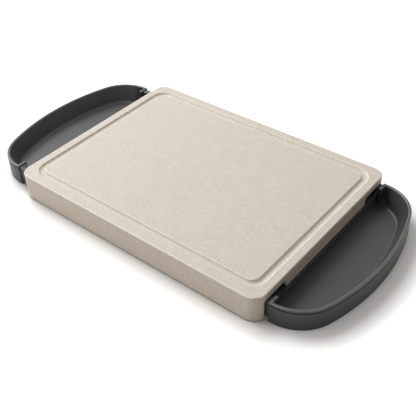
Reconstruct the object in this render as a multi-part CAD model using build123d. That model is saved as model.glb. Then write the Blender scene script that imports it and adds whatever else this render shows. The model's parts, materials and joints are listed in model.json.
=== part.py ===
"""Cutting board with a sliding catch tray at each end.

A hollow board stands on four soft pads. Its underside is closed by a base plate
that carries two guide rails, and each end of the board is open below a thin lip.
Through each opening slides a tray: a D-shaped bowl that always stays outside,
and a flat channel-shaped tongue that runs on the rails inside the board.

Frame: X along the board's length, Y across it towards the back, Z up.
Z = 0 is the table, and X = 0 is the middle of the whole footprint with the trays
standing out as photographed. All sizes are in millimetres.
"""
import os
from math import atan2, cos, hypot, pi, sin, tan

from build123d import *

# ---------------------------------------------------------------- the board
board_length = 365.0          # X, without the trays
board_width = 270.0           # Y
board_height = 35.0           # table to cutting surface, pads included
board_corner_radius = 15.0    # upright corners of the board
top_edge_bevel = 1.0          # bevel round the cutting surface
bottom_edge_bevel = 0.6       # bevel round the lower edge
pad_lift = 1.0                # how far the pads hold the lower edge off the table
side_wall = 4.0               # thickness of the long side walls
end_wall = 3.5                # thickness of the end walls
top_plate = 5.0               # thickness of the cutting plate

groove_end_margin = 10.8      # board's end to the outer edge of the juice groove
groove_side_margin = 12.7     # board's long side to the outer edge of the groove
groove_width = 8.4
groove_depth = 3.0
groove_corner_radius = 14.5   # corner of the groove's centre line
groove_tool_sides = 16        # flats round the cutter that shapes the groove

# ---------------------------------------------------------------- end openings
opening_side_gap = 2.0        # tray's neck to the side of the opening
lip_height = 8.5              # cutting surface down to the top of the opening
opening_corner_radius = 1.5
skirt_end_gap = 38.5          # side of the opening to the end of the skirt
skirt_drop = 10.0             # how far the skirt hangs below the lip
skirt_corner_radius = 4.0     # S-shaped ends of the skirt

# ---------------------------------------------------------------- inside the shell
rib_thickness = 2.0
ribs_across = 5               # ribs that run along the board
spines_across = 3             # deep ribs along the middle, where no tongue reaches
cross_rib_insets = (32.5, 77.5)   # board end to each rib that runs across
spine_tongue_gap = 12.5       # deep middle ribs to the closed tongue's end
spine_rail_gap = 5.0          # deep middle ribs to the rails
post_width = 7.2              # square posts that the base screws hold in
post_wall_overlap = 0.2       # how far a post runs into the side wall
post_inset = 77.5             # board end to the first post
bore_depth = 10.0

# ---------------------------------------------------------------- base plate
plate_recess = 0.3            # underside of the plate above the shell's lower edge
plate_thickness = 2.0
plate_gap = 0.3               # all round, inside the shell
plate_notch_gap = 1.5         # beside the tray's back wall, when closed
plate_notch_depth = 6.5       # board end to the plate, between the trays' necks
sill_thickness = 3.5
sill_inset = 1.6              # board end to the sill's outer face
plate_ribs_across = 4
plate_rib_thickness = 1.8
plate_rib_height = 3.6
plate_rib_gap = 10.0          # deep middle ribs to the start of the plate's ribs

# ---------------------------------------------------------------- guide rails
rail_flange_height = 1.0
rail_flange_reach = 11.5      # how far a flange reaches in under the tongue's side
rail_web = 2.4
rail_side_gap = 0.6           # rail web to the tongue's side
rail_end_gap = 7.0            # board end to the rail's end
rail_web_top_gap = 2.0        # rail web to the lower edge of the ribs
skid_gap = 0.3                # tongue's side above the flange
lug_length = 9.0              # lugs that hold a rail in the base plate
lug_width = 3.0
lug_gap = 0.1
lug_inset = 32.5              # board end to the outer lugs
lug_edge = 4.0                # flange's inner edge to the middle of a lug

# ---------------------------------------------------------------- trays
bowl_depth = 67.7             # back of the returns to the far edge of the rim
bowl_side_inset = 12.7        # board side to the widest part of the rim
bowl_corner_radius = 52.0
bowl_side_straight = 4.0      # straight length before the corner arcs
tray_foot = 0.5               # lower edge of the bowl above the table
rim_above_lip = 1.6           # top of the rim above the top of the opening
rim_height = 3.0
rim_edge_bevel = 0.8
shadow_line_height = 1.2      # fine groove under the rim, round the outside
shadow_line_depth = 1.0
bowl_wall = 3.6
bowl_floor_top = 4.6
bowl_floor_thickness = 2.4
bowl_floor_radius = 10.0      # sweep between floor and wall
return_thickness = 3.8        # short walls that turn in beside the neck
return_length = 13.3          # along the board's end
return_corner_radius = 1.2
foot_width = 9.0              # solid foot under the floor sweep

neck_inset = 1.8              # neck to the widest part of the rim
neck_block_width = 8.5
neck_top_gap = 0.5            # neck to the lip above it
cheek_thickness = 2.0
back_wall_setback = 1.7       # back wall's bowl side, behind the returns
back_wall_thickness = 2.5
back_wall_gap = 0.7           # below the skirt
back_wall_sweep = 10.0        # corner sweep up to the neck

tongue_length = 120.0
tongue_floor = 2.5
tongue_side = 3.0
tongue_bead_width = 6.5
tongue_bead_height = 3.0
tongue_rib_thickness = 2.0
tongue_rib_gap = 0.8          # ribs end this far above the base plate's ribs
tongue_end_lip = 3.0

travel = 50.0                 # closed to fully drawn
peg_length = 5.0
peg_setback = 5.0             # from the tongue's inner end
peg_depth = 2.6               # reaches through the rail into the base plate
slot_side_gap = 0.8
slot_end_gap = 0.5

left_tray_out = 19.0          # as photographed, board end to the returns
right_tray_out = 4.0

# ---------------------------------------------------------------- pads and screws
pad_length = 24.0
pad_width = 12.0
pad_corner_radius = 3.0
pad_end_inset = 27.5          # board end to the middle of a pad
pad_side_inset = 39.0         # board side to the middle of a pad

screw_radius = 1.45
screw_head_radius = 2.8
screw_head_height = 1.0       # stands under the base plate, clear of the table
screw_hole_gap = 0.2
screw_bore_gap = 0.05         # screw to the bore it holds in
screw_length = 10.0

# ---------------------------------------------------------------- derived
board_x = (left_tray_out - right_tray_out) / 2
half_length = board_length / 2
half_width = board_width / 2
shell_bottom = pad_lift
ceiling = board_height - top_plate
lip_z = board_height - lip_height
skirt_z = lip_z - skirt_drop
plate_bottom = shell_bottom + plate_recess
plate_top = plate_bottom + plate_thickness
rail_top = plate_top + rail_flange_height
bowl_half_width = half_width - bowl_side_inset
rim_top = lip_z + rim_above_lip
return_inner = bowl_half_width - return_length
neck_half_width = bowl_half_width - neck_inset
neck_inner = neck_half_width - neck_block_width
cheek_inner = neck_inner + cheek_thickness
neck_bottom = rail_top + skid_gap
neck_top = lip_z - neck_top_gap
back_wall_top = skirt_z - back_wall_gap
opening_half_width = neck_half_width + opening_side_gap
skirt_half_width = opening_half_width - skirt_end_gap
plate_notch_half_width = cheek_inner + plate_notch_gap
rail_flange_inner = neck_half_width - rail_flange_reach
lug_y = rail_flange_inner + lug_edge
slot_inner = neck_half_width - tongue_side - slot_side_gap
spine_half_length = half_length - tongue_length - spine_tongue_gap
spine_half_width = rail_flange_inner - spine_rail_gap
post_y = half_width - side_wall - post_width / 2 + post_wall_overlap
pad_x = half_length - pad_end_inset
pad_y = half_width - pad_side_inset
bore_radius = screw_radius + screw_bore_gap


def spread(count, reach):
    """Even positions between -reach and reach, none of them at the ends."""
    return [reach * (2 * (i + 1) / (count + 1) - 1) for i in range(count)]


def block(x0, x1, y0, y1, z0, z1):
    """A plain block between two opposite corners."""
    size = Box(x1 - x0, y1 - y0, z1 - z0)
    return Pos((x0 + x1) / 2, (y0 + y1) / 2, (z0 + z1) / 2) * size


def rounded_slab(length, width, radius, z0, z1):
    """An upright-sided slab with rounded corners, centred on the board."""
    return Pos(0, 0, z0) * extrude(RectangleRounded(length, width, radius), z1 - z0)


def upright(radius, z0, z1, x=0.0, y=0.0):
    """An upright round bar between two heights."""
    return Pos(x, y, (z0 + z1) / 2) * Cylinder(radius, z1 - z0)


def strip_yz(y0, y1, z0, z1):
    """A rectangle drawn in the Y-Z plane, as local x and y."""
    return Pos((y0 + y1) / 2, (z0 + z1) / 2) * Rectangle(y1 - y0, z1 - z0)


def along_x(face, x0, x1):
    """A Y-Z face drawn out from x0 to x1."""
    return extrude(Plane.YZ.offset(x0) * face, x1 - x0)


# ================================================================ board shell
def juice_groove():
    """Round-bottomed channel that follows the board's outline, cut in narrow flats."""
    half_span = groove_width / 2
    tool_radius = (half_span**2 + groove_depth**2) / (2 * groove_depth)
    loop = RectangleRounded(
        board_length - 2 * (groove_end_margin + half_span),
        board_width - 2 * (groove_side_margin + half_span),
        groove_corner_radius,
    )
    path = Pos(0, 0, board_height - groove_depth + tool_radius) * loop.face().outer_wire()
    start = Plane(origin=path @ 0, z_dir=path % 0)
    section = RegularPolygon(
        tool_radius, groove_tool_sides, major_radius=False, rotation=180 / groove_tool_sides
    )
    return sweep(start * section, path=path)


def end_opening():
    """Opening in an end wall: wide and low, with the skirt left hanging in it."""
    below = shell_bottom - 2
    hole = strip_yz(-opening_half_width, opening_half_width, below, lip_z)
    skirt = strip_yz(-skirt_half_width, skirt_half_width, skirt_z, lip_z)
    hole = hole - skirt
    corners = hole.vertices()
    skirt_ends = corners.filter_by(lambda v: abs(abs(v.X) - skirt_half_width) < 0.01)
    hole = fillet(skirt_ends, skirt_corner_radius)
    corners = hole.vertices()
    upper = corners.filter_by(
        lambda v: abs(abs(v.X) - opening_half_width) < 0.01 and v.Y > skirt_z
    )
    return fillet(upper, opening_corner_radius)


def shell_ribs():
    """Shallow ribs over the tongues and deep ones between them."""
    inner_x = half_length - end_wall / 2
    inner_y = half_width - side_wall / 2
    half = rib_thickness / 2
    root = ceiling + half
    ribs = block(-half, half, -spine_half_width, spine_half_width, plate_top, root)
    for y in spread(ribs_across, neck_half_width):
        ribs += block(-inner_x, inner_x, y - half, y + half, lip_z, root)
    for side in (-1, 1):
        for inset in cross_rib_insets:
            x = side * (half_length - inset)
            ribs += block(x - half, x + half, -inner_y, inner_y, lip_z, root)
        x = side * spine_half_length
        ribs += block(x - half, x + half, -spine_half_width, spine_half_width, plate_top, root)
    for y in spread(spines_across, spine_half_width):
        ribs += block(
            -spine_half_length, spine_half_length, y - half, y + half, plate_top, root
        )
    return ribs


def screw_places():
    """Where the screws come up through the base plate into the shell, by name."""
    places = {}
    for side, y in (("front", -post_y), ("rear", post_y)):
        for end, x in (("left", -1), ("middle", 0), ("right", 1)):
            places[f"{side}_{end}"] = (x * (half_length - post_inset), y)
    return places


def board_shell():
    """Cutting plate, side walls, end walls with their openings, ribs and posts."""
    outer = rounded_slab(
        board_length, board_width, board_corner_radius, shell_bottom, board_height
    )
    outer = chamfer(outer.edges().group_by(Axis.Z)[-1], top_edge_bevel)
    outer = chamfer(outer.edges().group_by(Axis.Z)[0], bottom_edge_bevel)
    hollow = rounded_slab(
        board_length - 2 * end_wall,
        board_width - 2 * side_wall,
        board_corner_radius - side_wall,
        shell_bottom - 1,
        ceiling,
    )
    shell = outer - hollow
    opening = end_opening()
    shell -= along_x(opening, half_length - board_corner_radius, half_length + 1)
    shell -= along_x(opening, -half_length - 1, -half_length + board_corner_radius)
    shell += shell_ribs()
    half_post = post_width / 2
    for x, y in screw_places().values():
        shell += block(
            x - half_post, x + half_post, y - half_post, y + half_post,
            plate_top, ceiling + top_plate / 4,
        )
        shell -= upright(bore_radius, plate_top, plate_top + bore_depth, x, y)
    return shell - juice_groove()


# ================================================================ base plate
def base_plate():
    """Underside cover with stiffening ribs, end sills and holes for lugs and screws."""
    plate = rounded_slab(
        board_length - 2 * (end_wall + plate_gap),
        board_width - 2 * (side_wall + plate_gap),
        board_corner_radius - side_wall - plate_gap,
        plate_bottom,
        plate_top,
    )
    notch_x = half_length - plate_notch_depth
    sill_outer = half_length - sill_inset
    sill_y = opening_half_width - plate_gap
    for side in (-1, 1):
        ends = sorted((side * notch_x, side * half_length))
        plate -= block(
            ends[0], ends[1], -plate_notch_half_width, plate_notch_half_width,
            plate_bottom - 1, plate_top + 1,
        )
        sill = sorted((side * (sill_outer - sill_thickness), side * sill_outer))
        for y_sign in (-1, 1):
            span = sorted((y_sign * plate_notch_half_width, y_sign * sill_y))
            plate += block(sill[0], sill[1], span[0], span[1], plate_bottom, rail_top)
        rib_start = spine_half_length + plate_rib_gap
        rib_ends = sorted((side * rib_start, side * (notch_x - plate_rib_thickness)))
        for y in spread(plate_ribs_across, rail_flange_inner):
            plate += block(
                rib_ends[0], rib_ends[1],
                y - plate_rib_thickness / 2, y + plate_rib_thickness / 2,
                plate_bottom + plate_thickness / 2, plate_top + plate_rib_height,
            )
        slot = peg_slot(side, slot_inner, neck_half_width + slot_side_gap)
        plate -= slot + mirror(slot, about=Plane.XZ)
    for x, y in lug_places():
        plate -= lug(x, y, lug_gap)
    for x, y in screw_places().values():
        plate -= upright(screw_radius + screw_hole_gap, plate_bottom - 1, plate_top + 1, x, y)
    return plate


# ================================================================ guide rails
def peg_slot(side, y0, y1):
    """Slot, through rail and base plate, that a tray's stop peg runs in."""
    peg_inner = half_length - tongue_length + peg_setback
    start = peg_inner - slot_end_gap
    end = peg_inner + peg_length + travel + slot_end_gap
    ends = sorted((side * start, side * end))
    return block(ends[0], ends[1], y0, y1, plate_bottom - 1, rail_top + 1)


def lug_places():
    """Where the rails' lugs go down through the base plate."""
    end_x = half_length - lug_inset
    return [(x, side * lug_y) for side in (-1, 1) for x in (-end_x, 0.0, end_x)]


def lug(x, y, gap=0.0):
    """Block that fills a slot in the base plate, or the slot, with its gap all round."""
    half_x = lug_length / 2 + gap
    half_y = lug_width / 2 + gap
    bottom = plate_bottom - gap
    top = (plate_top + rail_top) / 2
    return block(x - half_x, x + half_x, y - half_y, y + half_y, bottom, top)


def guide_rail(y_sign):
    """Strip under a tongue's side: a flange to run on and a web to run along."""
    web_inner = neck_half_width + rail_side_gap
    web_outer = web_inner + rail_web
    end = half_length - rail_end_gap
    section = strip_yz(rail_flange_inner, web_outer, plate_top, rail_top)
    section += strip_yz(web_inner, web_outer, plate_top, lip_z - rail_web_top_gap)
    rail = along_x(section, -end, end)
    for side in (-1, 1):
        rail -= peg_slot(side, slot_inner, web_inner)
    for x, y in lug_places():
        if y > 0:
            rail += lug(x, y)
    if y_sign < 0:
        rail = mirror(rail, about=Plane.XZ)
    return rail


# ================================================================ trays
def bowl_face(inset, back=0.0):
    """The D outline drawn in by an even inset, closed by a straight back line.

    Two corner arcs run into one wide front arc. Its radius follows from the
    depth, the half width and the corner radius, so that all three meet smoothly.
    """
    depth = bowl_depth - inset
    half = bowl_half_width - inset
    corner = bowl_corner_radius - inset
    step = bowl_side_straight - depth
    rise = half - corner
    front = (corner**2 - step**2 - rise**2) / (2 * (step + corner))
    front_x = depth - front
    reach = hypot(bowl_side_straight - front_x, rise)
    meet_x = front_x + front * (bowl_side_straight - front_x) / reach
    meet_y = front * rise / reach
    turn = atan2(rise, bowl_side_straight - front_x)
    middle = (turn + pi / 2) / 2
    bend_x = bowl_side_straight + corner * cos(middle)
    bend_y = rise + corner * sin(middle)
    outline = Line((back, -half), (bowl_side_straight, -half))
    outline += ThreePointArc((bowl_side_straight, -half), (bend_x, -bend_y), (meet_x, -meet_y))
    outline += ThreePointArc((meet_x, -meet_y), (depth, 0), (meet_x, meet_y))
    outline += ThreePointArc((meet_x, meet_y), (bend_x, bend_y), (bowl_side_straight, half))
    outline += Line((bowl_side_straight, half), (back, half))
    outline += Line((back, half), (back, -half))
    return make_face(outline)


def bowl_slab(inset, z0, z1, back=0.0):
    """The D outline as an upright slab."""
    return Pos(0, 0, z0) * extrude(bowl_face(inset, back), z1 - z0)


def back_corners(solid):
    """Upright edges at the two back corners of a D slab."""
    return solid.edges().filter_by(Axis.Z).filter_by(lambda e: e.center().X < 0.01)


def swept_floor(inside):
    """The cavity with its floor edge swept up in three flats that touch the sweep's arc."""
    first = bowl_floor_radius * (1 - tan(pi / 8))
    second = bowl_floor_radius * (tan(pi / 8) - tan(pi / 16))
    for length, heights in ((first, (0,)), (second, (0, first))):
        edges = inside.edges().filter_by(
            lambda e: e.center().X > return_thickness + 0.01
            and any(abs(e.center().Z - bowl_floor_top - height) < 0.01 for height in heights)
        )
        inside = chamfer(edges, length)
    return inside


def bowl():
    """Wall with its rim, swept floor, returns and the open back between them."""
    wall = bowl_slab(0.0, tray_foot, rim_top)
    wall = fillet(back_corners(wall), return_corner_radius)
    line_top = rim_top - rim_height
    line_bottom = line_top - shadow_line_height
    line = bowl_slab(-shadow_line_depth, line_bottom, line_top, -1)
    line -= bowl_slab(shadow_line_depth, line_bottom, line_top, -1)
    inside = bowl_slab(bowl_wall, bowl_floor_top, rim_top + 5, return_thickness)
    inside = swept_floor(inside)
    gap = block(
        -back_wall_setback - 1, return_thickness + 1,
        -return_inner, return_inner, bowl_floor_top, rim_top + 5,
    )
    under = bowl_slab(
        foot_width, tray_foot - 1, bowl_floor_top - bowl_floor_thickness, return_thickness
    )
    return wall - line - inside - gap - under


def neck():
    """Short wall across the open back of the bowl, swept up into the two necks."""
    back = -back_wall_setback - back_wall_thickness
    floor_bottom = bowl_floor_top - bowl_floor_thickness
    face = strip_yz(-neck_half_width, neck_half_width, neck_bottom, neck_top)
    face += strip_yz(-cheek_inner, cheek_inner, floor_bottom, neck_bottom + 1)
    above = strip_yz(-neck_inner, neck_inner, back_wall_top, neck_top + back_wall_sweep)
    above = fillet(above.vertices().group_by(Axis.Y)[0], back_wall_sweep)
    wall = along_x(face - above, back, -back_wall_setback)
    cheek = strip_yz(neck_inner, neck_half_width, neck_bottom, neck_top)
    cheek += strip_yz(neck_inner, cheek_inner, floor_bottom, neck_bottom + 1)
    sides = along_x(cheek, back, return_thickness / 2)
    sides += mirror(sides, about=Plane.XZ)
    floor = block(
        back, return_thickness + 1, -cheek_inner, cheek_inner,
        floor_bottom, bowl_floor_top,
    )
    return wall + sides + floor


def tongue():
    """Channel-shaped slide behind the bowl: floor, sides on skids, ribs, end lip."""
    start = -back_wall_setback - back_wall_thickness / 2
    end = -tongue_length
    floor_bottom = back_wall_top - tongue_floor
    side_inner = neck_half_width - tongue_side
    bead_inner = neck_half_width - tongue_bead_width
    face = strip_yz(-side_inner - 1, side_inner + 1, floor_bottom, back_wall_top)
    for sign in (-1, 1):
        side = sorted((sign * side_inner, sign * neck_half_width))
        face += strip_yz(side[0], side[1], neck_bottom, neck_top)
        bead = sorted((sign * bead_inner, sign * neck_half_width))
        face += strip_yz(bead[0], bead[1], neck_top - tongue_bead_height, neck_top)
    slide = along_x(face, end, start)
    rib_bottom = plate_top + plate_rib_height + tongue_rib_gap
    for y in (-neck_inner / 2, 0.0, neck_inner / 2):
        slide += block(
            end, start, y - tongue_rib_thickness / 2, y + tongue_rib_thickness / 2,
            rib_bottom, floor_bottom + 0.5,
        )
    slide += block(
        end, end + tongue_side, -side_inner - 0.5, side_inner + 0.5,
        rib_bottom, back_wall_top + tongue_end_lip,
    )
    for sign in (-1, 1):
        peg = sorted((sign * side_inner, sign * neck_half_width))
        slide += block(
            end + peg_setback, end + peg_setback + peg_length, peg[0], peg[1],
            neck_bottom - peg_depth, neck_bottom + 0.5,
        )
    return slide


def tray():
    """One tray in its own frame: returns' back on X = 0, bowl towards +X."""
    whole = bowl() + neck() + tongue()
    return chamfer(whole.edges().group_by(Axis.Z)[-1], rim_edge_bevel)


# ================================================================ pads and screws
def pad():
    """Soft pad, stuck flat under the base plate."""
    return rounded_slab(pad_length, pad_width, pad_corner_radius, 0, plate_bottom)


def screw():
    """Screw with a flat round head under the base plate."""
    shank = upright(screw_radius, plate_bottom, plate_bottom + screw_length)
    return shank + upright(screw_head_radius, plate_bottom - screw_head_height, plate_bottom)


# ================================================================ nodes
def nodes():
    """Every separate piece of the object, placed in the shared frame."""
    to_board = Pos(board_x, 0, 0)
    one_tray = tray()
    one_pad = pad()
    one_screw = screw()
    right_place = Pos(board_x + half_length + right_tray_out, 0, 0)
    left_place = Pos(board_x - half_length - left_tray_out, 0, 0) * Rot(0, 0, 180)
    placed = {
        "board_shell": to_board * board_shell(),
        "base_plate": to_board * base_plate(),
        "front_guide_rail": to_board * guide_rail(-1),
        "rear_guide_rail": to_board * guide_rail(1),
        "left_tray": left_place * one_tray,
        "right_tray": right_place * one_tray,
    }
    for side, y in (("front", -pad_y), ("rear", pad_y)):
        for end, x in (("left", -pad_x), ("right", pad_x)):
            placed[f"{side}_{end}_pad"] = to_board * Pos(x, y, 0) * one_pad
    for where, (x, y) in screw_places().items():
        placed[f"{where}_screw"] = to_board * Pos(x, y, 0) * one_screw
    return placed


os.makedirs("parts", exist_ok=True)
for name, shape in nodes().items():
    export_step(shape, f"parts/{name}.step")
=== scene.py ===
# %% [markdown]
# # Cutting board with two catch trays
#
# A hollow beige cutting board with a charcoal tray that slides out of each end.
# The CAD model gives every solid its true size and place. Here the mouldings get
# the small rounded edges that catch light, the rubber pads and the screws are
# modelled, and everything gets its surface, light and camera. Lengths are in
# metres, and Z = 0 is the table.

import json
from math import cos, radians, sin, tan

import bpy
from mathutils import Matrix, Vector


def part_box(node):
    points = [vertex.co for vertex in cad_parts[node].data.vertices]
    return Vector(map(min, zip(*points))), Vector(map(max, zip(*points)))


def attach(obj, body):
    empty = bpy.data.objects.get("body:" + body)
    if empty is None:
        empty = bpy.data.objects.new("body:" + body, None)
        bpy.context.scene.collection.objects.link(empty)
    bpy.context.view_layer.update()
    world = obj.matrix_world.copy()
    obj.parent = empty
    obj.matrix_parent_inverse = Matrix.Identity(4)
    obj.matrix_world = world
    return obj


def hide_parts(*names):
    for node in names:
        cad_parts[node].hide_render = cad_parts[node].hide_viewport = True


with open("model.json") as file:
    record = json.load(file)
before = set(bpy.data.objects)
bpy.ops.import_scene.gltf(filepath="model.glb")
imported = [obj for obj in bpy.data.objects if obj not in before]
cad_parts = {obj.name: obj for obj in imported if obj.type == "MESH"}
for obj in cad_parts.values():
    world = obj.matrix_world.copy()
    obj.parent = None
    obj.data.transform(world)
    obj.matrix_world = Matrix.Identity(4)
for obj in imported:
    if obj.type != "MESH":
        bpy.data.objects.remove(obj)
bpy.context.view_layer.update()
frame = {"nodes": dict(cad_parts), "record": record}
bpy.ops.object.select_all(action="DESELECT")
MM = 0.001

# %% [markdown]
# ## Colours and nodes
#
# A paint program shows colours as sRGB hex values, while a shader counts light.
# One function turns the first into the second. Another adds a node, sets its
# inputs and joins its links, so that a material reads as a short list of what it
# is made of.


# %% colour and node tools
def srgb(hex_code):
    """A hex colour as the linear RGBA that shaders use."""
    channels = [int(hex_code[start:start + 2], 16) / 255 for start in (1, 3, 5)]
    linear = [
        value / 12.92 if value <= 0.04045 else ((value + 0.055) / 1.055) ** 2.4
        for value in channels
    ]
    return (*linear, 1.0)


def add_node(tree, kind, settings=None, stops=(), **inputs):
    """Adds one node. Values set its inputs, sockets are linked, stops fill a ramp."""
    node = tree.nodes.new(kind)
    for key, value in (settings or {}).items():
        setattr(node, key, value)
    for name, value in inputs.items():
        key = int(name[1:]) if name[1:].isdigit() else name.replace("_", " ")
        if isinstance(value, bpy.types.NodeSocket):
            tree.links.new(value, node.inputs[key])
        else:
            node.inputs[key].default_value = value
    for index, (position, hex_code) in enumerate(stops):
        if index >= len(node.color_ramp.elements):
            node.color_ramp.elements.new(position)
        node.color_ramp.elements[index].position = position
        node.color_ramp.elements[index].color = srgb(hex_code)
    return node


def new_material(name):
    """A material with an empty node tree, that tree and its output node."""
    material = bpy.data.materials.new(name)
    material.use_nodes = True
    tree = material.node_tree
    tree.nodes.clear()
    return material, tree, tree.nodes.new("ShaderNodeOutputMaterial")


print("mid grey #808080 is", round(srgb("#808080")[0], 3), "of the light of white")

# %% [markdown]
# ## Rounding the mouldings
#
# A moulded edge is never knife-sharp: it ends in a radius of a few tenths of a
# millimetre, and that radius, together with a paler colour painted on it as a
# highlight, draws the thin bright lines along the board's edges and the trays'
# rims. The CAD nodes stay as they are, so each moulding is copied, its loose
# triangles are merged, flat areas are made single faces again, and only then are
# chosen edges rounded with Bevel. A Bevel modifier over the whole piece would be
# less work, but the shortest edge anywhere sets its limit, so the edges that matter
# are picked by their place instead.


# %% copy a moulding and pick its parts
def activate(piece):
    """Makes a piece the only selected and the active one."""
    bpy.ops.object.select_all(action="DESELECT")
    piece.select_set(True)
    bpy.context.view_layer.objects.active = piece


def moulding_from(node_name):
    """A copy of a CAD node with merged corners and whole flat faces."""
    mesh = frame["nodes"][node_name].data.copy()
    piece = bpy.data.objects.new(node_name + "_moulding", mesh)
    bpy.context.scene.collection.objects.link(piece)
    mesh.materials.clear()
    activate(piece)
    bpy.ops.object.mode_set(mode="EDIT")
    bpy.ops.mesh.select_all(action="SELECT")
    bpy.ops.mesh.remove_doubles(threshold=0.001 * MM)
    bpy.ops.mesh.dissolve_limited(angle_limit=radians(0.2))
    bpy.ops.object.mode_set(mode="OBJECT")
    return piece


def select_by(piece, kind, test):
    """Selects the EDGE or FACE items that pass a test, and stays in edit mode."""
    if bpy.context.mode != "OBJECT":
        bpy.ops.object.mode_set(mode="OBJECT")
    activate(piece)
    bpy.ops.object.mode_set(mode="EDIT")
    bpy.ops.mesh.select_mode(type=kind)
    bpy.ops.mesh.select_all(action="DESELECT")
    bpy.ops.object.mode_set(mode="OBJECT")
    items = piece.data.edges if kind == "EDGE" else piece.data.polygons
    chosen = [item for item in items if test(item)]
    for item in chosen:
        item.select = True
    bpy.ops.object.mode_set(mode="EDIT")
    return len(chosen)


def level(*points_and_height):
    """True if all the points lie at the height given last."""
    *points, height = points_and_height
    return all(abs(point.z - height) < 0.02 * MM for point in points)


def is_slanted(face):
    """True for a face between upright and level, as on a rounded upper edge."""
    return 0.2 < face.normal.z < 0.999


# %% round, shade and place a moulding
def round_edges(piece, wanted, radius, segments=3):
    """Rounds the edges whose two end points pass the test given."""
    points = piece.data.vertices
    count = select_by(
        piece, "EDGE",
        lambda edge: wanted(*(points[index].co for index in edge.vertices)),
    )
    bpy.ops.mesh.bevel(
        offset=radius, segments=segments, affect="EDGES", clamp_overlap=True
    )
    bpy.ops.object.mode_set(mode="OBJECT")
    print(f"{piece.name}: {count} edges rounded to {radius / MM:.2f} mm")


def shade(piece, angle=30):
    """Smooth shading up to the angle, with large flat faces kept flat."""
    activate(piece)
    bpy.ops.object.shade_smooth_by_angle(angle=radians(angle))
    flats = piece.modifiers.new("flats", "WEIGHTED_NORMAL")
    flats.keep_sharp = True
    bpy.ops.object.modifier_apply(modifier="flats")


def stand_for(piece, body, slot, *nodes):
    """The piece rides on a body and is shown in place of CAD nodes."""
    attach(piece, body)
    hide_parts(*nodes)


# %% [markdown]
# ## The board
#
# Board and base plate are moulded from the same plastic. The bevel round the
# cutting surface becomes a full rounding, and so do the two lips of the juice
# groove: they are what the eye reads as the groove, a bright line beside the dark
# wall. All of them lie at the height of the top or one bevel below it, so their
# height and their distance from the sides pick them. Their faces get a second
# material, a paler colour that paints a highlight along these edges and makes the
# bright lines stronger.

# %% board and base plate
board = moulding_from("board_shell")
low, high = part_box("board_shell")
TOP, TOP_BEVEL = high[2], 1.0 * MM
GROOVE_MARGIN = 8 * MM
LIP_RADIUS, EDGE_RADIUS = 0.8 * MM, 0.4 * MM
EDGE_BAND, EDGE_DROP, LIP_DROP = 3 * MM, 1.3 * MM, 0.45 * MM
# Slot of the rounded edges, whose paler colour is a painted highlight.
PAINTED_HIGHLIGHT_SLOT = 1


def from_side(point):
    """Distance from the nearest side of the board."""
    return min(point.x - low[0], high[0] - point.x, point.y - low[1], high[1] - point.y)


def on_groove_lip(a, b):
    return level(a, b, TOP) and min(from_side(a), from_side(b)) > GROOVE_MARGIN


def on_top_edge(a, b):
    at_top = level(a, b, TOP) and max(from_side(a), from_side(b)) < GROOVE_MARGIN
    return at_top or level(a, b, TOP - TOP_BEVEL)


def gets_painted_highlight(face):
    """The rounded faces of the top edge and of the groove's lips, which get a painted
    highlight.
    """
    inwards, height = from_side(face.center), face.center.z
    outer = inwards < EDGE_BAND and height > TOP - EDGE_DROP
    lip = inwards > GROOVE_MARGIN and height > TOP - LIP_DROP
    return (outer or lip) and is_slanted(face)


round_edges(board, on_groove_lip, LIP_RADIUS)
round_edges(board, on_top_edge, EDGE_RADIUS)
shade(board)
highlight_faces = [face for face in board.data.polygons if gets_painted_highlight(face)]
for face in highlight_faces:
    face.material_index = PAINTED_HIGHLIGHT_SLOT
stand_for(board, "board", "board", "board_shell")

base = moulding_from("base_plate")
shade(base)
stand_for(base, "board", "board", "base_plate")
print("board", len(board.data.polygons), "faces, polished", len(highlight_faces))

# %% [markdown]
# ## The bowls' leaning wall
#
# Each tray is one moulding: a D-shaped bowl outside the board and a flat tongue
# inside it. The inside of the bowl's wall leans inwards by 22 degrees and meets the
# floor in a tight sweep, so the tray leaves its mould easily and wipes clean. The
# CAD bowl has an upright wall and a wider sweep, cut in three flats. Moving the
# four loops of that sweep keeps the rest of the tray exactly as it is. Every point
# moves square to the arc on which it lies, and the move grows from nothing beside
# the board to its full size further out, so the low wall keeps its place.

# %% the bowl's measures
RIM_TOP, RIM_BEVEL, WALL_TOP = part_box("left_tray")[1][2], 0.8 * MM, 15.8 * MM
BOWL_DEPTH, BOWL_HALF_WIDTH, FLOOR_TOP = 67.7 * MM, 122.3 * MM, 4.6 * MM
CORNER_RADIUS, SIDE_STRAIGHT = 52 * MM, 4 * MM
CAD_SWEEP = 10 * MM
FIRST_CUT = CAD_SWEEP * (1 - tan(radians(22.5)))
SECOND_CUT = CAD_SWEEP * (tan(radians(22.5)) - tan(radians(11.25)))
LEVEL_CUT = SECOND_CUT * sin(radians(45))
SWEEP_INSETS = (0.0, LEVEL_CUT, FIRST_CUT - LEVEL_CUT, FIRST_CUT + SECOND_CUT)
SWEEP_LOOPS = [FLOOR_TOP + inset for inset in reversed(SWEEP_INSETS)]
LOOP_REACH = 0.3 * MM
DRAFT, SWEEP_RADIUS = radians(22), 4.5 * MM
LEAN_STARTS, LEAN_FULL = 5 * MM, 20 * MM
print("sweep loops at", [round(height / MM, 2) for height in SWEEP_LOOPS], "mm")


# %% lean the wall
def towards_middle(depth, y):
    """Level direction square to the wall, from its front arc or its corner arcs."""
    rise, run = BOWL_HALF_WIDTH - CORNER_RADIUS, BOWL_DEPTH - SIDE_STRAIGHT
    front = (CORNER_RADIUS ** 2 - run ** 2 - rise ** 2) / (2 * (CORNER_RADIUS - run))
    centre = Vector((BOWL_DEPTH - front, 0))
    if abs(y) * (SIDE_STRAIGHT - centre.x) > rise * (depth - centre.x):
        centre = Vector((SIDE_STRAIGHT, rise if y > 0 else -rise))
    return (centre - Vector((depth, y))).normalized()


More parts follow.
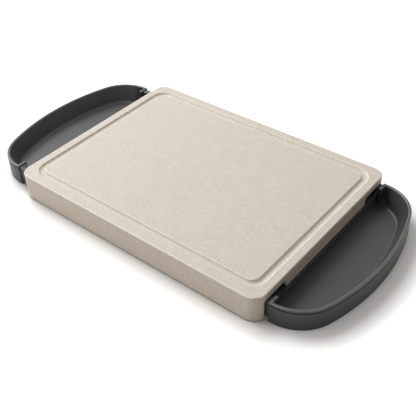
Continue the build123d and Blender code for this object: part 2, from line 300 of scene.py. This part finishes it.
def lean_wall(tray, sign):
    """Leans the inside of the bowl's wall and tightens the sweep at its foot."""
    drop = RIM_TOP - RIM_BEVEL - FLOOR_TOP - SWEEP_RADIUS
    centre = drop * tan(DRAFT) + SWEEP_RADIUS / cos(DRAFT)
    back = max(sign * vertex.co.x for vertex in tray.data.vertices) - BOWL_DEPTH
    moved = 0
    for vertex in tray.data.vertices:
        depth = sign * vertex.co.x - back
        share = min(max((depth - LEAN_STARTS) / (LEAN_FULL - LEAN_STARTS), 0), 1)
        for index, (height, inset) in enumerate(zip(SWEEP_LOOPS, SWEEP_INSETS)):
            if share and abs(vertex.co.z - height) < LOOP_REACH:
                turn = DRAFT + (radians(90) - DRAFT) * index / 3
                inward = towards_middle(depth, vertex.co.y)
                shift = share * (centre - SWEEP_RADIUS * cos(turn) - inset)
                target = FLOOR_TOP + SWEEP_RADIUS * (1 - sin(turn))
                rise = share * (target - vertex.co.z)
                vertex.co += Vector((sign * inward.x * shift, inward.y * shift, rise))
                moved += 1
                break
    print(f"{tray.name}: {moved} points of the inner wall leant inwards")


# %% [markdown]
# ## Trays and guide rails
#
# The bevels of the rim become full roundings, which catch the white of the room in
# thin bright lines. Their faces get a paler colour, a painted highlight that makes
# those lines stronger, and the shadow line under the rim a near-black one, which is
# painted shade. The rails are plain strips, and get the same care for the views
# from below.

# %% trays and rails
RIM_RADIUS, WALL_EDGE_RADIUS = 0.45 * MM, 0.5 * MM
RIM_BAND, WALL_EDGE_BAND = 0.9 * MM, (0.2 * MM, 0.3 * MM)
RECESS_DROP, RECESS_BAND = 3.6 * MM, 0.65 * MM
LONGEST_SHORT_EDGE = 50 * MM
# Slot of the recess under the rim, whose near-black colour is painted shade.
RECESS_SHADE_SLOT = 2


def on_rim(a, b):
    return level(a, b, RIM_TOP) or level(a, b, RIM_TOP - RIM_BEVEL)


def on_low_wall(a, b):
    return level(a, b, WALL_TOP) and abs(a.y - b.y) > LONGEST_SHORT_EDGE


def tray_finish(face, sign):
    """0 for the tray's own finish, 1 on its rounded edges, with a painted highlight, 2
    in its recess, with painted shade.
    """
    height = face.center.z
    if abs(height - RIM_TOP + RECESS_DROP) < RECESS_BAND:
        return RECESS_SHADE_SLOT
    drop, reach = WALL_EDGE_BAND
    on_wall_edge = abs(height - WALL_TOP + drop) < reach and sign * face.normal.x > 0.2
    return int((height > RIM_TOP - RIM_BAND or on_wall_edge) and is_slanted(face))


trays = []
for side, sign in (("left", -1), ("right", 1)):
    tray = moulding_from(f"{side}_tray")
    lean_wall(tray, sign)
    round_edges(tray, on_rim, RIM_RADIUS)
    round_edges(tray, on_low_wall, WALL_EDGE_RADIUS)
    shade(tray)
    for face in tray.data.polygons:
        face.material_index = tray_finish(face, sign)
    stand_for(tray, f"{side}_tray", "tray", f"{side}_tray")
    trays.append(tray)

rails = []
for depth in ("front", "rear"):
    rail = moulding_from(f"{depth}_guide_rail")
    shade(rail)
    stand_for(rail, "board", "rail", f"{depth}_guide_rail")
    rails.append(rail)
print("trays", [len(tray.data.polygons) for tray in trays], "faces each")

# %% [markdown]
# ## The rubber pads
#
# The board stands on four small silicone pads. Such a pad has rounded corners, a
# soft lower edge, and shallow cross grooves that stop it sliding on a wet
# worktop. It starts as a box at its size and place. Bevel rounds the four upright
# edges and then the lower rim, bisect cuts the underside into strips, and every
# second strip is inset and pushed up by a third of a millimetre. One pad is
# modelled, and the others are copies with their own meshes.


# %% model once and copy
def repeat(model, node_names, slot, suffix):
    """Models a piece for the first node and copies it to the places of the others."""
    pieces = [model(node_names[0])]
    home = Vector(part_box(node_names[0])[0])
    for name in node_names[1:]:
        copy = pieces[0].copy()
        copy.data = pieces[0].data.copy()
        bpy.context.scene.collection.objects.link(copy)
        copy.data.transform(Matrix.Translation(Vector(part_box(name)[0]) - home))
        pieces.append(copy)
    for name, piece in zip(node_names, pieces):
        piece.name = name + suffix
        stand_for(piece, "board", slot, name)
    print(len(pieces), slot, "pieces of", len(pieces[0].data.polygons), "faces each")
    return pieces


# %% pad
PAD_CORNER, PAD_RIM, STRIPS = 3 * MM, 0.35 * MM, 7
GROOVE_INSET, GROOVE_DEPTH = 0.25 * MM, 0.35 * MM


def rubber_pad(node_name):
    """A grooved non-slip pad in the place of a CAD pad."""
    low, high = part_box(node_name)
    size = [high[axis] - low[axis] for axis in range(3)]
    centre = [(high[axis] + low[axis]) / 2 for axis in range(3)]
    bpy.ops.mesh.primitive_cube_add(size=1, location=centre, scale=size)
    pad = bpy.context.object
    bpy.ops.object.transform_apply(location=True, rotation=True, scale=True)

    def ends(edge):
        return [pad.data.vertices[index].co.z for index in edge.vertices]

    def is_upright(edge):
        return max(ends(edge)) - min(ends(edge)) > size[2] / 2

    select_by(pad, "EDGE", is_upright)
    bpy.ops.mesh.bevel(offset=PAD_CORNER, segments=6, affect="EDGES")
    select_by(pad, "EDGE", lambda edge: max(ends(edge)) < low[2] + 0.01 * MM)
    bpy.ops.mesh.bevel(offset=PAD_RIM, segments=3, affect="EDGES")

    first_cut, strip = low[0] + PAD_CORNER, (size[0] - 2 * PAD_CORNER) / STRIPS
    for cut in range(STRIPS + 1):
        bpy.ops.mesh.select_all(action="SELECT")
        bpy.ops.mesh.bisect(
            plane_co=(first_cut + cut * strip, 0, 0), plane_no=(1, 0, 0)
        )
    bpy.ops.object.mode_set(mode="OBJECT")

    def grooved(face):
        place = (face.center.x - first_cut) / strip
        return face.normal.z < -0.9 and 0 < place < STRIPS and int(place) % 2 == 1

    select_by(pad, "FACE", grooved)
    bpy.ops.mesh.inset(thickness=GROOVE_INSET, use_individual=True)
    bpy.ops.transform.translate(value=(0, 0, GROOVE_DEPTH))
    bpy.ops.object.mode_set(mode="OBJECT")
    shade(pad)
    return pad


places = [(depth, side) for depth in ("front", "rear") for side in ("left", "right")]
pads = repeat(
    rubber_pad, [f"{depth}_{side}_pad" for depth, side in places], "pad", "_rubber"
)

# %% [markdown]
# ## The screws
#
# Six small steel screws hold the base plate to the posts inside the board. Only
# their heads show, from below: a low pan head with a cross recess. The head is a
# disc with its rim rounded, and a small cross is taken out of it with Boolean,
# which is the quickest way to a clean, deep slot. The shank is extruded from the
# same mesh, one V after another. Its ridges are rings and not a winding thread,
# because it sits inside the post, where nobody can see the difference. One screw
# is modelled, and the others are copies with their own meshes.

# %% screw
HEAD_HEIGHT, HEAD_ROUNDING = 1.0 * MM, 0.5 * MM
SHANK_RADIUS, CORE, PITCH = 1.45 * MM, 1.15 * MM, 1.2 * MM
RIDGE_FIT = 0.98
RECESS_WIDTH, RECESS_LENGTH, RECESS_DEPTH = 0.9 * MM, 3.2 * MM, 0.65 * MM


def cut_recess(screw, centre, scale):
    """Takes a small box out of the screw's head."""
    bpy.ops.mesh.primitive_cube_add(size=1, location=centre, scale=scale)
    cutter = bpy.context.object
    activate(screw)
    cut = screw.modifiers.new("recess", "BOOLEAN")
    cut.operation = "DIFFERENCE"
    cut.object = cutter
    bpy.ops.object.modifier_apply(modifier="recess")
    bpy.data.objects.remove(cutter, do_unlink=True)


def ring_screw(node_name):
    """A pan-head screw with a cross recess, as long and wide as its CAD solid."""
    low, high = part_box(node_name)
    head_radius = (high[0] - low[0]) / 2
    centre = ((low[0] + high[0]) / 2, (low[1] + high[1]) / 2)
    bpy.ops.mesh.primitive_cylinder_add(
        vertices=32, radius=head_radius, depth=HEAD_HEIGHT,
        location=(*centre, low[2] + HEAD_HEIGHT / 2),
    )
    screw = bpy.context.object
    bpy.ops.object.transform_apply(location=True, rotation=True, scale=True)

    def is_lower_rim(edge):
        heights = [screw.data.vertices[index].co.z for index in edge.vertices]
        return max(heights) < low[2] + 0.01 * MM

    select_by(screw, "EDGE", is_lower_rim)
    bpy.ops.mesh.bevel(offset=HEAD_ROUNDING, segments=4, affect="EDGES")

    select_by(screw, "FACE", lambda face: face.normal.z > 0.9)
    bpy.ops.mesh.inset(thickness=head_radius - SHANK_RADIUS)
    bpy.ops.transform.resize(value=(CORE / SHANK_RADIUS, CORE / SHANK_RADIUS, 1))
    for _ in range(int((high[2] - low[2] - HEAD_HEIGHT) / PITCH)):
        for grow in (SHANK_RADIUS / CORE, CORE / SHANK_RADIUS):
            bpy.ops.mesh.extrude_region_move(
                TRANSFORM_OT_translate={"value": (0, 0, PITCH / 2 * RIDGE_FIT)}
            )
            bpy.ops.transform.resize(value=(grow, grow, 1))
    bpy.ops.object.mode_set(mode="OBJECT")

    for arm in ((RECESS_WIDTH, RECESS_LENGTH), (RECESS_LENGTH, RECESS_WIDTH)):
        cut_recess(screw, (*centre, low[2]), (*arm, 2 * RECESS_DEPTH))
    shade(screw)
    return screw


places = [(d, side) for d in ("front", "rear") for side in ("left", "middle", "right")]
screws = repeat(
    ring_screw, [f"{depth}_{side}_screw" for depth, side in places], "screw", "_steel"
)

# %% [markdown]
# ## The board: moulded fibre plastic
#
# The board is a plastic filled with plant fibre, moulded with a dry, matte skin.
# What the eye gets from it is a warm beige with soft cloudy patches a few
# millimetres across and many tiny darker specks, where fibres lie near the
# surface. Three noise textures at real sizes give the clouds, the grain and the
# specks, and the same grain lifts the surface by a few hundredths of a millimetre.

# %% fibre plastic
FIBRE_COLOUR = srgb("#ab957a")
NOISES = (("cloud", 16 * MM, 3), ("grain", 1.7 * MM, 3), ("fibre", 3.2 * MM, 4))


def fibre_plastic(name, body_colours, grain_colours, roughness):
    """Matte plastic full of fine fibre, from its body and grain colours."""
    material, tree, output = new_material(name)
    place = add_node(tree, "ShaderNodeTexCoord").outputs["Object"]
    noises = {
        part: add_node(
            tree, "ShaderNodeTexNoise",
            Vector=place, Scale=1 / size, Detail=detail, Roughness=0.6,
        ).outputs["Fac"]
        for part, size, detail in NOISES
    }
    clouds, grain = (
        add_node(
            tree, "ShaderNodeValToRGB",
            stops=((0.35, colours[0]), (0.65, colours[1])), Fac=noises[part],
        ).outputs["Color"]
        for part, colours in (("cloud", body_colours), ("grain", grain_colours))
    )
    skin = add_node(
        tree, "ShaderNodeMix", {"data_type": "RGBA"}, _0=0.65, _6=clouds, _7=grain
    ).outputs[2]
    fibre = add_node(
        tree, "ShaderNodeMapRange",
        Value=noises["fibre"], From_Min=0.60, From_Max=0.72, To_Max=0.45,
    ).outputs["Result"]
    coloured = add_node(
        tree, "ShaderNodeMix", {"data_type": "RGBA"}, _0=fibre, _6=skin, _7=FIBRE_COLOUR
    ).outputs[2]
    bump = add_node(
        tree, "ShaderNodeBump",
        Strength=0.35, Distance=0.08 * MM, Height=noises["grain"],
    ).outputs["Normal"]
    shader = add_node(
        tree, "ShaderNodeBsdfPrincipled",
        Base_Color=coloured, Roughness=roughness, IOR=1.49, Normal=bump,
    )
    tree.links.new(shader.outputs["BSDF"], output.inputs["Surface"])
    print(name, "with", len(tree.nodes), "nodes")
    return material


# The skin: a dry, matte beige, cloudy from afar and specked close up.
board_finish = fibre_plastic(
    "moulded_fibre_plastic", ("#d5cabd", "#e0d8ce"), ("#d0c4b5", "#e9e2d8"), 0.62
)
# The rounded edges: a paler, almost cream colour, painted as a highlight line, with a
# lower roughness that shines a little more.
edge_highlight_finish = fibre_plastic(
    "fibre_plastic_edge_painted_highlight", ("#f2eadf", "#f8f2ea"), ("#eee6da", "#fbf7f1"), 0.45
)

# %% [markdown]
# ## The trays: charcoal polypropylene
#
# The trays come from a spark-eroded mould, which leaves an even, very fine
# satin grain. The colour is a neutral charcoal. The grain is finer than a pixel
# here, so it is drawn a little coarser than life. The same plastic is drawn in
# three shades: the bowl itself, a paler rim whose colour is a painted highlight,
# and the narrow recess under the rim, whose near-black colour is painted shade.

# %% charcoal plastic
GRAIN_SIZE, PATCH_SIZE = 0.9 * MM, 30 * MM
ROUGHNESS_PLAY = 0.05


def charcoal_plastic(name, dark, pale, roughness):
    """Satin charcoal plastic with a fine moulded grain."""
    material, tree, output = new_material(name)
    place = add_node(tree, "ShaderNodeTexCoord").outputs["Object"]
    grain, patches = (
        add_node(
            tree, "ShaderNodeTexNoise",
            Vector=place, Scale=1 / size, Detail=2.0, Roughness=0.5,
        ).outputs["Fac"]
        for size in (GRAIN_SIZE, PATCH_SIZE)
    )
    colour = add_node(
        tree, "ShaderNodeValToRGB", stops=((0.3, dark), (0.7, pale)), Fac=patches
    ).outputs["Color"]
    rough = add_node(
        tree, "ShaderNodeMapRange",
        Value=grain, From_Min=0.3, From_Max=0.7,
        To_Min=roughness - ROUGHNESS_PLAY, To_Max=roughness + ROUGHNESS_PLAY,
    ).outputs["Result"]
    bump = add_node(
        tree, "ShaderNodeBump", Strength=0.2, Distance=0.02 * MM, Height=grain
    ).outputs["Normal"]
    shader = add_node(
        tree, "ShaderNodeBsdfPrincipled",
        Base_Color=colour, Roughness=rough, IOR=1.49, Normal=bump,
    )
    tree.links.new(shader.outputs["BSDF"], output.inputs["Surface"])
    print(name, "with", len(tree.nodes), "nodes")
    return material


# The rounded rim and the low wall's top edge: a paler grey painted as a highlight line
# along the whole bowl, a little glossier.
rim_highlight_finish = charcoal_plastic("charcoal_edge_painted_highlight", "#707071", "#777778", 0.34)
# The recess: near-black painted shade, a dark line that parts the rim from the wall
# below it.
recess_shade_finish = charcoal_plastic("charcoal_recess_painted_shade", "#1b1b1c", "#202021", 0.7)
# The bowl: a dark neutral grey with a soft, wide sheen.
bowl_finish = charcoal_plastic(
    "moulded_charcoal_polypropylene", "#3c3c3d", "#414142", 0.45
)

# %% [markdown]
# ## The hidden pieces
#
# The rails are acetal, a slippery off-white plastic that is often chosen for
# slides. The pads are soft grey silicone rubber, and the screws are zinc-plated
# steel. They only show from below, but each still gets its own surface: a noise
# texture at a real size shifts its colour, and with it the bump or the roughness.


# %% acetal, rubber and steel
def acetal():
    """Machined acetal: smooth and off-white, with a milky haze in the colour."""
    material, tree, output = new_material("machined_acetal")
    place = add_node(tree, "ShaderNodeTexCoord").outputs["Object"]
    haze = add_node(
        tree, "ShaderNodeTexNoise", Vector=place, Scale=1 / (18 * MM), Detail=2.0
    ).outputs["Fac"]
    colour = add_node(
        tree, "ShaderNodeValToRGB", stops=((0.3, "#dcdbd6"), (0.7, "#e6e5e0")), Fac=haze
    ).outputs["Color"]
    shader = add_node(
        tree, "ShaderNodeBsdfPrincipled", Base_Color=colour, Roughness=0.35, IOR=1.48
    )
    tree.links.new(shader.outputs["BSDF"], output.inputs["Surface"])
    return material


def silicone_rubber():
    """Moulded silicone rubber: dull mid grey that looks faintly dusty."""
    material, tree, output = new_material("moulded_silicone_rubber")
    place = add_node(tree, "ShaderNodeTexCoord").outputs["Object"]
    dust = add_node(
        tree, "ShaderNodeTexNoise", Vector=place, Scale=1 / (1.5 * MM), Detail=3.0
    ).outputs["Fac"]
    colour = add_node(
        tree, "ShaderNodeValToRGB",
        stops=((0.3, "#4c4c4b"), (0.75, "#5e5e5c")), Fac=dust,
    ).outputs["Color"]
    bump = add_node(
        tree, "ShaderNodeBump", Strength=0.3, Distance=0.04 * MM, Height=dust
    ).outputs["Normal"]
    shader = add_node(
        tree, "ShaderNodeBsdfPrincipled",
        Base_Color=colour, Roughness=0.8, IOR=1.41, Normal=bump,
    )
    tree.links.new(shader.outputs["BSDF"], output.inputs["Surface"])
    return material


def zinc_steel():
    """Zinc-plated steel: bright metal with a cloudy, uneven shine."""
    material, tree, output = new_material("zinc_plated_steel")
    place = add_node(tree, "ShaderNodeTexCoord").outputs["Object"]
    cloud = add_node(
        tree, "ShaderNodeTexNoise", Vector=place, Scale=1 / (1.2 * MM), Detail=2.0
    ).outputs["Fac"]
    colour = add_node(
        tree, "ShaderNodeValToRGB",
        stops=((0.3, "#a9aaab"), (0.7, "#c3c4c6")), Fac=cloud,
    ).outputs["Color"]
    rough = add_node(
        tree, "ShaderNodeMapRange",
        Value=cloud, From_Min=0.3, From_Max=0.7, To_Min=0.28, To_Max=0.42,
    ).outputs["Result"]
    shader = add_node(
        tree, "ShaderNodeBsdfPrincipled",
        Base_Color=colour, Roughness=rough, Metallic=1.0,
    )
    tree.links.new(shader.outputs["BSDF"], output.inputs["Surface"])
    return material


finishes = {
    "board": board_finish,
    "tray": bowl_finish,
    "rail": acetal(),
    "pad": silicone_rubber(),
    "screw": zinc_steel(),
}
print("finishes for", ", ".join(finishes))

# %% [markdown]
# ## Dressing the pieces
#
# A piece's faces name a material by its place in the piece's list: 0 is the
# finish of the whole, 1 the rounded edges with their painted highlight and 2 the
# recess with its painted shade. Emptying that list would send every face back to
# 0, so the pieces, which have none yet, only have materials added. The CAD nodes
# under them get the main finish.

# %% dress the pieces
for slot, pieces in {
    "board": (board, base), "tray": trays, "rail": rails, "pad": pads, "screw": screws
}.items():
    for piece in pieces:
        piece.data.materials.append(finishes[slot])
# Slot 1 of the board: the painted highlight on its rounded edges.
board.data.materials.append(edge_highlight_finish)
# Slots 1 and 2 of each tray: the painted highlight on its rim and low wall edge, and
# the painted shade in its recess.
for tray in trays:
    tray.data.materials.append(rim_highlight_finish)
    tray.data.materials.append(recess_shade_finish)
for subpart in frame["record"]["subparts"]:
    node = frame["nodes"][subpart["node"]]
    node.data.materials.clear()
    node.data.materials.append(finishes[subpart["material_slot"]])

# %% [markdown]
# ## Paper floor
#
# The photograph is a studio shot on white paper. What the camera sees of the
# floor is pure white paper with the object's own soft shadow. That shadow has two
# widths: a deep, narrow one at the object's foot and a faint one that reaches a few
# centimetres. Ambient Occlusion measures how open each spot is, and one ramp turns
# that into both. A faint glow keeps the paper light where the object screens the
# lamps off, and it rises far out, so the paper has no horizon. For the light that
# bounces back onto the object the same floor is plain off-white paper. Light Path
# tells the two apart, and glossy rays see what the camera sees.

# %% floor
# The ramp and this colour paint the contact shadow into the paper's colour from Ambient
# Occlusion.
CONTACT_REACH, CONTACT_SHADOW_COLOUR = 40 * MM, srgb("#8a8781")
SHADOW_RAMP = (
    (0.35, "#000000"), (0.49, "#848484"), (0.58, "#b9b9b9"),
    (0.78, "#d2d2d2"), (0.92, "#e2e2e2"), (1.0, "#ffffff"),
)
PAPER, PAPER_GLOW, BOUNCE_COLOUR = 1.30, 0.24, srgb("#e8e3dc")
WHITE_FROM, WHITE_TO = 0.7, 1.5
FLOOR_WIDTH = 8.0


def seen_directly(tree):
    """1 for rays from the camera and mirrored or refracted ones, else 0."""
    rays = tree.nodes.new("ShaderNodeLightPath").outputs
    seen = rays["Is Camera Ray"]
    for kind in ("Is Glossy Ray", "Is Transmission Ray"):
        seen = add_node(
            tree, "ShaderNodeMath", {"operation": "MAXIMUM"}, _0=seen, _1=rays[kind]
        ).outputs["Value"]
    return seen


def paper_floor():
    """White studio paper that keeps its shadow."""
    material, tree, output = new_material("white_studio_paper")
    openness = add_node(
        tree, "ShaderNodeAmbientOcclusion", {"samples": 16}, Distance=CONTACT_REACH
    ).outputs["AO"]
    # Painted shadow: the ramp darkens the paper where Ambient Occlusion finds it closed
    # in.
    openness = add_node(
        tree, "ShaderNodeValToRGB", stops=SHADOW_RAMP, Fac=openness
    ).outputs["Color"]
    colour = add_node(
        tree, "ShaderNodeMix", {"data_type": "RGBA"},
        _0=openness, _6=CONTACT_SHADOW_COLOUR, _7=(PAPER, PAPER, PAPER, 1.0),
    ).outputs[2]
    lit = add_node(tree, "ShaderNodeBsdfDiffuse", Color=colour)
    place = add_node(tree, "ShaderNodeTexCoord").outputs["Object"]
    away = add_node(
        tree, "ShaderNodeVectorMath", {"operation": "LENGTH"}, _0=place
    ).outputs["Value"]
    strength = add_node(
        tree, "ShaderNodeMapRange", Value=away,
        From_Min=WHITE_FROM, From_Max=WHITE_TO, To_Min=PAPER_GLOW, To_Max=1.0,
    ).outputs["Result"]
    glow = add_node(tree, "ShaderNodeEmission", Color=colour, Strength=strength)
    paper = add_node(tree, "ShaderNodeAddShader", _0=lit.outputs[0], _1=glow.outputs[0])
    bounce = add_node(tree, "ShaderNodeBsdfDiffuse", Color=BOUNCE_COLOUR)
    mix = add_node(
        tree, "ShaderNodeMixShader",
        _0=seen_directly(tree), _1=bounce.outputs[0], _2=paper.outputs[0],
    )
    tree.links.new(mix.outputs[0], output.inputs["Surface"])
    return material


bpy.ops.mesh.primitive_plane_add(size=FLOOR_WIDTH, location=(0, 0, 0))
floor = bpy.context.object
floor.name = "studio_floor"
floor.data.materials.append(paper_floor())
print("floor", FLOOR_WIDTH, "m wide, white from", WHITE_TO, "m out")

# %% [markdown]
# ## Light
#
# One large soft box stands high beyond the left end of the board, as in the
# photograph: the walls that face left are light, and the right end lies in shade. A
# lower, weaker one fills the front from the left. The white room around them is the
# world. Together they light a level surface so that its colour renders about as it
# is written.


# %% lights and world
def soft_box(name, place, size, power):
    """A square lamp that points at the middle of the table."""
    data = bpy.data.lights.new(name, "AREA")
    data.shape = "SQUARE"
    data.size = size
    data.energy = power
    lamp = bpy.data.objects.new(name, data)
    bpy.context.scene.collection.objects.link(lamp)
    lamp.location = place
    lamp.rotation_euler = (-Vector(place)).to_track_quat("-Z", "Y").to_euler()


soft_box("key_light", place=(-1.7, 0.35, 2.2), size=1.6, power=65)
soft_box("fill_light", place=(-2.1, -1.3, 1.0), size=1.4, power=17)

world = bpy.data.worlds.new("studio_world")
bpy.context.scene.world = world
world.use_nodes = True
sky = world.node_tree
sky.nodes.clear()
room = add_node(sky, "ShaderNodeBackground", Color=srgb("#fff8ef"), Strength=0.22)
backdrop = add_node(sky, "ShaderNodeBackground", Color=(1, 1, 1, 1), Strength=1.0)
choose = add_node(
    sky, "ShaderNodeMixShader",
    _0=seen_directly(sky), _1=room.outputs[0], _2=backdrop.outputs[0],
)
add_node(sky, "ShaderNodeOutputWorld", Surface=choose.outputs[0])
bpy.context.scene.view_settings.view_transform = "Standard"
print("lights", [lamp.name for lamp in bpy.data.lights])

# %% [markdown]
# ## Camera
#
# The camera was solved from the photograph: straight edges of the board and the
# trays, with their real sizes, fix its height, its direction and its distance. The
# numbers are the angle round the object, the angle above the table, a slight roll,
# and how far the aim is off the board's centre, in pixels of the photograph.

# %% camera
IMAGE_WIDTH, FOCAL_PIXELS, SENSOR = 416, 700.17, 36.0
AZIMUTH, ELEVATION, ROLL = radians(40.027), radians(39.559), radians(-2.150)
DISTANCE, AIM_PIXELS = 0.88515, (-6.423, -13.621)
BOARD_CENTRE = Vector((7.5 * MM, 0, 0))

back = Vector((
    sin(AZIMUTH) * cos(ELEVATION), -cos(AZIMUTH) * cos(ELEVATION), sin(ELEVATION)
))
level_right = Vector((cos(AZIMUTH), sin(AZIMUTH), 0))
level_up = back.cross(level_right)
right = cos(ROLL) * level_right + sin(ROLL) * level_up
up = -sin(ROLL) * level_right + cos(ROLL) * level_up
step = DISTANCE / FOCAL_PIXELS
aside = up * AIM_PIXELS[1] * step - right * AIM_PIXELS[0] * step
place = BOARD_CENTRE + back * DISTANCE + aside

camera_data = bpy.data.cameras.new("photo_camera")
camera_data.sensor_fit = "HORIZONTAL"
camera_data.sensor_width = SENSOR
camera_data.lens = FOCAL_PIXELS / IMAGE_WIDTH * SENSOR
camera_data.clip_start = 0.01
camera_data.clip_end = 50
camera = bpy.data.objects.new("photo_camera", camera_data)
bpy.context.scene.collection.objects.link(camera)
turn = Matrix((right, up, back)).transposed().to_4x4()
camera.matrix_world = Matrix.Translation(place) @ turn
bpy.context.scene.camera = camera
print(f"camera {DISTANCE:.2f} m away, lens {camera_data.lens:.1f} mm")
